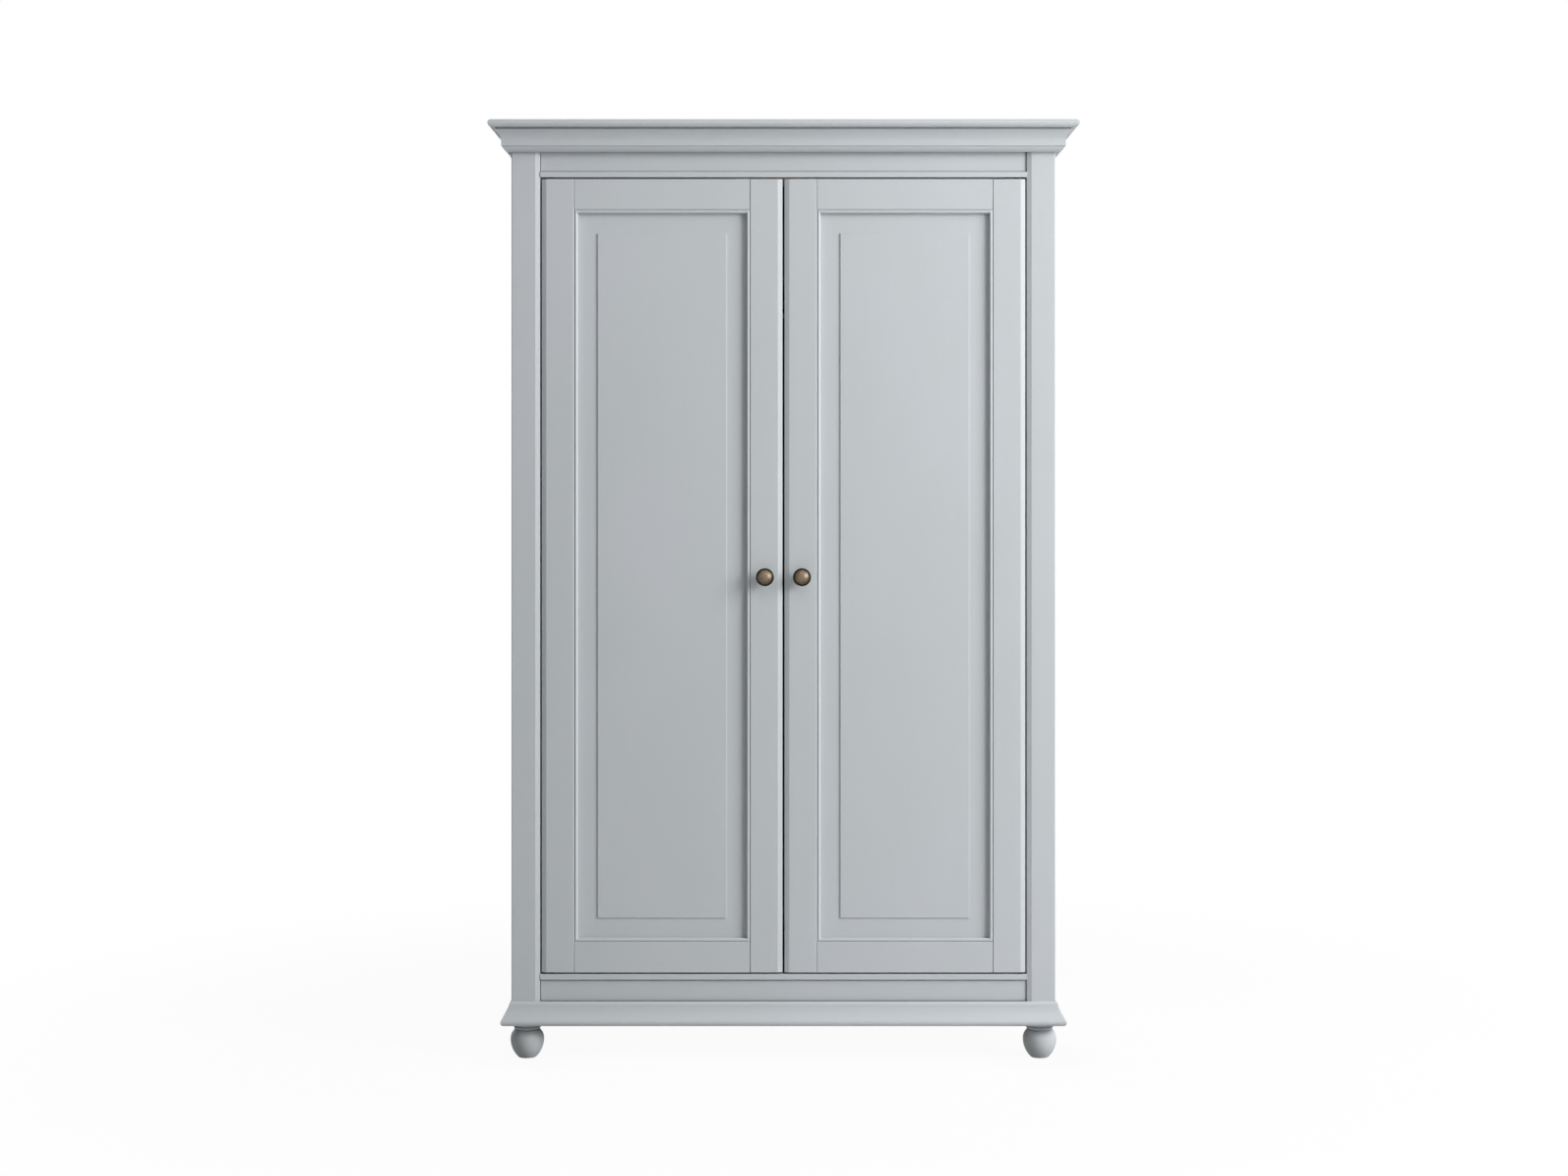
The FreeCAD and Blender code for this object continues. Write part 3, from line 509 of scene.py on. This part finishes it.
def nosed_board(node):
    """The top board: a nose along the front and the ends, square at the back."""
    low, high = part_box(node)
    under = arc((6.0, 2.0), (2.1, 5.2), (0, 11.0), 16)
    over = arc((0, 11.0), (1.93, 15.7), (6.2, 18.0), 12)
    nose = [(21.0, 0), (21.0, 2.0), (6.0, 2.0)] + under + over
    bm = bmesh.new()

    def line(side, at_front):
        """The nose at one corner of the board, as vertices and the edges between them."""
        points = [bm.verts.new((side * (high.x - inset * MM),
                                low.y + inset * MM if at_front else high.y,
                                low.z + height * MM)) for inset, height in nose]
        return points, [bm.edges.new(pair) for pair in zip(points, points[1:])]
    lines = [line(-1, False), line(-1, True), line(1, True), line(1, False)]
    for (_, edges), (_, next_edges) in zip(lines, lines[1:]):
        bmesh.ops.bridge_loops(bm, edges=edges + next_edges)
    corners = [points for points, _ in lines]
    bm.faces.new([points[0] for points in corners])
    bm.faces.new([points[-1] for points in corners])
    bm.faces.new(corners[0] + corners[-1][::-1])
    return bm


def turning(profile):
    """A closed turned shape about +Z, from its (radius, height) profile in millimetres."""
    bm = bmesh.new()
    points = [bm.verts.new((radius * MM, 0, height * MM)) for radius, height in profile]
    lines = [bm.edges.new(pair) for pair in zip(points, points[1:])]
    steps = bpy.context.scene.wardrobe_shape.turning_steps
    bmesh.ops.spin(bm, geom=points + lines, cent=(0, 0, 0), axis=(0, 0, 1), dvec=(0, 0, 0),
                   angle=math.tau, steps=steps, use_merge=True)
    bmesh.ops.remove_doubles(bm, verts=bm.verts, dist=WELD)
    return bm


def foot_profile():
    """Bun foot: sole, ball, quirk, ring and neck."""
    sole, widest, shoulder = (19.5, 0.8), (35.5, 39.0), (27.0, 58.5)

    def middle(end):
        width = widest[0] - end[0]
        height = end[1] - widest[1]
        radius = (width * width + height * height) / (2 * width)
        half_turn = math.asin(height / radius) / 2
        return (widest[0] - radius + radius * math.cos(half_turn), widest[1] + radius * math.sin(half_turn))
    ball = [(0, 0), (18.6, 0), sole]
    ball += arc(sole, middle(sole), widest, 22)
    ball += arc(widest, middle(shoulder), shoulder, 14)
    quirk = [(26.4, 58.9), (24.3, 59.1), (24.0, 59.5), (24.0, 60.4), (24.4, 60.7), (25.6, 60.8)]
    ring = arc((25.6, 60.8), (28.5, 63.2), (25.6, 65.6), 10)
    neck = [(25.3, 66.0), (25.5, 75.0), (0, 75.0)]
    return ball + quirk + ring + neck


def knob_profile():
    """Rose, neck, dished back, rounded rim, quirk and dome."""
    rose = [(0, 0), (9.2, 0), (9.5, 0.3), (9.5, 1.0)] + arc((9.5, 1.0), (7.9, 2.5), (6.2, 3.5), 5)
    neck = [(6.0, 4.2), (5.9, 8.5), (6.0, 13.0)]
    back = arc((6.0, 13.0), (10.6, 16.2), (17.2, 18.1), 10)
    rim = arc((17.2, 18.1), (19.0, 20.0), (17.3, 21.7), 14)
    quirk = [(16.7, 21.75), (16.2, 21.5), (15.9, 21.2)]
    radius, rise, top = 15.8, 8.0, 29.0
    ball = (radius * radius + rise * rise) / (2 * rise)
    half = math.asin(radius / ball) / 2
    between = (ball * math.sin(half), top - ball + ball * math.cos(half))
    dome = arc((radius, top - rise), between, (0, top), 24)
    return rose + neck + back + rim + quirk + [(radius, top - rise)] + dome[:-1] + [(0, top)]


class WARDROBE_OT_carcass(bpy.types.Operator):
    """Ease and paint the posts, rails, strips, sides and back frame"""
    bl_idname = "wardrobe.carcass"
    bl_label = "Painted carcass"

    def execute(self, context):
        shape = context.scene.wardrobe_shape
        upright = ["back_muntin"] + both("corner_post_front", "corner_post_rear", "side_panel")
        across = ["frieze_rail", "plinth_rail", "back_rail_upper", "back_rail_lower"]
        deep = both("side_rail_upper", "side_rail_lower")
        for names, along in ((upright, "z"), (across, "x"), (deep, "y")):
            for name in names:
                eased(name, shape.board_arris, paint_for(along))
        for name in ("head_strip", "threshold_strip"):
            eased(name, shape.strip_arris, paint_for("x"))
        return {"FINISHED"}


class WARDROBE_OT_mouldings(bpy.types.Operator):
    """Run and paint the top board, the cornice and the base moulding"""
    bl_idname = "wardrobe.mouldings"
    bl_label = "Painted mouldings"

    def execute(self, context):
        board = nosed_board("top_board")
        stand_for("top_board", "nosed_top_board", board, paint_for("x"), CRISP_MOULDING)
        mitred_runs("cornice", cornice_section(), CORNICE_PACKING)
        mitred_runs("base_moulding", base_section(), BASE_PACKING)
        return {"FINISHED"}


class WARDROBE_OT_doors(bpy.types.Operator):
    """Ease and paint the stiles, rails, panels and beads of both doors"""
    bl_idname = "wardrobe.doors"
    bl_label = "Painted doors"

    def execute(self, context):
        shape = context.scene.wardrobe_shape
        for door in ("left_door_", "right_door_"):
            for name in ("hinge_stile", "meeting_stile"):
                eased(door + name, shape.board_arris, paint_for("z"))
            for name in ("top_rail", "bottom_rail"):
                eased(door + name, shape.board_arris, paint_for("x"))
            eased(door + "panel", shape.field_arris, paint_for("z"))
            eased(door + "beads", shape.bead_arris, paint_for(None))
        return {"FINISHED"}


class WARDROBE_OT_feet(bpy.types.Operator):
    """Turn the four bun feet"""
    bl_idname = "wardrobe.feet"
    bl_label = "Bun feet"

    def execute(self, context):
        for name in both("foot_front") + both("foot_rear"):
            middle = middle_of(name)
            bm = turning(foot_profile())
            bmesh.ops.translate(bm, verts=bm.verts, vec=(middle.x, middle.y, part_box(name)[0].z))
            stand_for(name, "turned_" + name, bm, paint_for(None), CRISP_TURNING)
        return {"FINISHED"}


class WARDROBE_OT_knobs(bpy.types.Operator):
    """Turn the two brass knobs"""
    bl_idname = "wardrobe.knobs"
    bl_label = "Brass knobs"

    def execute(self, context):
        for name in ("left_door_knob", "right_door_knob"):
            middle = middle_of(name)
            door_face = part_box(name)[1].y
            right = Vector((abs(middle.x), 0, middle.z))
            bm = turning(knob_profile())
            place = Matrix.Translation((middle.x, door_face, middle.z)) @ Matrix.Rotation(math.pi / 2, 4, "X")
            bmesh.ops.transform(bm, matrix=place, verts=bm.verts)
            brass = finished("rubbed_brass", antique_brass, right)
            stand_for(name, "turned_" + name, bm, brass, CRISP_TURNING)
        return {"FINISHED"}


class WARDROBE_OT_boards(bpy.types.Operator):
    """Finish the inside boards and the back panels in clear pine"""
    bl_idname = "wardrobe.boards"
    bl_label = "Pine boards"

    def execute(self, context):
        for name in ("floor_board", "hat_shelf", "shelf_battens", "door_stop"):
            dress(name, pine_for("x"))
        for name in ("back_panel_left", "back_panel_right"):
            dress(name, pine_for("z"))
        return {"FINISHED"}


class WARDROBE_OT_metalwork(bpy.types.Operator):
    """Finish the pivots, screws, plates, catches and hanging rail"""
    bl_idname = "wardrobe.metalwork"
    bl_label = "Metalwork"

    def execute(self, context):
        finish = context.scene.wardrobe_finish
        zinc = worked_metal("bright_zinc", finish.zinc, roughness=0.32)
        chrome = worked_metal("chromed_tube", finish.chrome, roughness=0.12, along="x")
        brass = worked_metal("turned_brass", finish.bush_brass, roughness=0.28)
        steel = worked_metal("blackened_steel", finish.pivot_steel, roughness=0.5)
        dress("pivot_pins", steel)
        for name in ("carcass_screws", "foot_bolts"):
            dress(name, zinc)
        for name in ("hanging_rail", "rail_brackets"):
            dress(name, chrome)
        dress("magnetic_catches", moulded_plastic())
        for door in ("left_door_", "right_door_"):
            dress(door + "pivot_bushes", brass)
            dress(door + "knob_screw", zinc)
            dress(door + "strike_plate", zinc)
        return {"FINISHED"}


class WARDROBE_OT_stage(bpy.types.Operator):
    """Lay the floor, light the wardrobe and set up the camera"""
    bl_idname = "wardrobe.stage"
    bl_label = "Studio"

    def execute(self, context):
        stage = context.scene.wardrobe_stage
        context.scene.view_settings.view_transform = "Standard"
        lay_floor(stage)
        light_dome(stage)
        for name, (spot, size) in LAMPS.items():
            soft_light(name + "_light", spot, size, getattr(stage, name + "_power"))
        set_camera(stage)
        return {"FINISHED"}


def seen_ray(recipe):
    """1 for rays that show the studio: camera, mirror and glass."""
    seen, mirrored, through = [recipe.node("ShaderNodeLightPath", output=name)
                               for name in ("Is Camera Ray", "Is Glossy Ray", "Is Transmission Ray")]
    return recipe.node("ShaderNodeMath", {"operation": "MINIMUM"}, {0: seen + mirrored + through, 1: 1.0})


def lay_floor(stage):
    """A wide pale disc that keeps a faint shadow near the wardrobe and melts into the white; round the front
    feet its colour is darkened as painted shade.
    """
    bm = bmesh.new()
    bmesh.ops.create_circle(bm, cap_ends=True, segments=96, radius=FLOOR_RADIUS)
    mesh = bpy.data.meshes.new("floor")
    bm.to_mesh(mesh)
    bm.free()
    floor = bpy.data.objects.new("floor", mesh)
    bpy.context.scene.collection.objects.link(floor)
    recipe = Recipe.for_material("studio_floor")
    spot = recipe.place()
    distance = recipe.node("ShaderNodeVectorMath", {"operation": "LENGTH"}, {0: spot}, output="Value")
    foot = middle_of("foot_front_right")
    aside = abs(recipe.along(spot, "X")) - foot.x
    ahead = recipe.along(spot, "Y") - foot.y
    from_foot = (aside * aside + ahead * ahead) ** 0.5
    grain = recipe.noise(recipe.place(3), detail=2)
    worn = tuple(level * 0.98 for level in stage.floor)
    wide = recipe.mix(grain, tuple(stage.floor), worn)
    # Painted shade: the floor's colour darkens round each front foot.
    tone = recipe.mix(from_foot.between(*FOOT_PAINTED_SHADE), tuple(stage.floor_painted_foot_shade), wide)
    pale = recipe.node("ShaderNodeBsdfDiffuse", {}, {"Color": tone})
    white = recipe.node("ShaderNodeEmission", {}, {"Color": WHITE, "Strength": 1.0})
    whiteness = 1 - stage.floor_shadow + distance.between(*FLOOR_FADE) * stage.floor_shadow
    blend = recipe.node("ShaderNodeMixShader", {}, {0: seen_ray(recipe) * whiteness, 1: pale, 2: white})
    recipe.node("ShaderNodeOutputMaterial", {}, {"Surface": blend})
    mesh.materials.append(recipe.owner)


def light_dome(stage):
    """White all round: plain white where it is seen, weaker as a light."""
    world = bpy.data.worlds.new("white_studio")
    bpy.context.scene.world = world
    recipe = Recipe(world)
    dim = recipe.node("ShaderNodeBackground", {}, {"Color": WHITE, "Strength": stage.dome_strength})
    white = recipe.node("ShaderNodeBackground", {}, {"Color": WHITE, "Strength": 1.0})
    blend = recipe.node("ShaderNodeMixShader", {}, {0: seen_ray(recipe), 1: dim, 2: white})
    recipe.node("ShaderNodeOutputWorld", {}, {"Surface": blend})


def soft_light(name, spot, size, power):
    """A square soft light that points at the middle of the doors."""
    lamp = bpy.data.lights.new(name, "AREA")
    lamp.shape = "SQUARE"
    lamp.size = size
    lamp.energy = power
    light = bpy.data.objects.new(name, lamp)
    light.visible_camera = False
    bpy.context.scene.collection.objects.link(light)
    light.location = spot
    light.rotation_euler = (Vector(AIM) - Vector(spot)).to_track_quat("-Z", "Y").to_euler()


def set_camera(stage):
    """A level camera straight ahead; the lens shift frames the wardrobe."""
    lens = bpy.data.cameras.new("camera")
    lens.sensor_width = SENSOR_WIDTH
    lens.lens = stage.focal_length
    lens.shift_x = stage.shift_side
    lens.shift_y = stage.shift_up
    lens.clip_end = FARTHEST_SEEN
    camera = bpy.data.objects.new("camera", lens)
    bpy.context.scene.collection.objects.link(camera)
    camera.location = (0, FRONT - stage.camera_distance, stage.camera_height)
    camera.rotation_euler = (math.pi / 2, 0, 0)
    bpy.context.scene.camera = camera


OPERATORS = (WARDROBE_OT_carcass, WARDROBE_OT_mouldings, WARDROBE_OT_doors, WARDROBE_OT_feet,
             WARDROBE_OT_knobs, WARDROBE_OT_boards, WARDROBE_OT_metalwork, WARDROBE_OT_stage)
GROUPS = {"wardrobe_finish": WardrobeFinish, "wardrobe_shape": WardrobeShape, "wardrobe_stage": WardrobeStage}


class WARDROBE_PT_pieces(bpy.types.Panel):
    """Settings and pieces of the wardrobe"""
    bl_idname = "WARDROBE_PT_pieces"
    bl_label = "Wardrobe"
    bl_space_type = "VIEW_3D"
    bl_region_type = "UI"
    bl_category = "Wardrobe"

    def draw(self, context):
        for group in GROUPS:
            settings = getattr(context.scene, group)
            column = self.layout.box().column()
            for name in settings.__annotations__:
                column.prop(settings, name)
        for operator in OPERATORS:
            self.layout.operator(operator.bl_idname)


def register():
    for group in GROUPS.values():
        bpy.utils.register_class(group)
    for operator in OPERATORS:
        bpy.utils.register_class(operator)
    bpy.utils.register_class(WARDROBE_PT_pieces)
    for name, group in GROUPS.items():
        setattr(bpy.types.Scene, name, bpy.props.PointerProperty(type=group))


def unregister():
    for name in GROUPS:
        delattr(bpy.types.Scene, name)
    bpy.utils.unregister_class(WARDROBE_PT_pieces)
    for operator in reversed(OPERATORS):
        bpy.utils.unregister_class(operator)
    for group in reversed(list(GROUPS.values())):
        bpy.utils.unregister_class(group)


def main():
    register()
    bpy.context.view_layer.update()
    for operator in OPERATORS:
        area, name = operator.bl_idname.split(".")
        getattr(getattr(bpy.ops, area), name)()


if __name__ == "__main__":
    main()
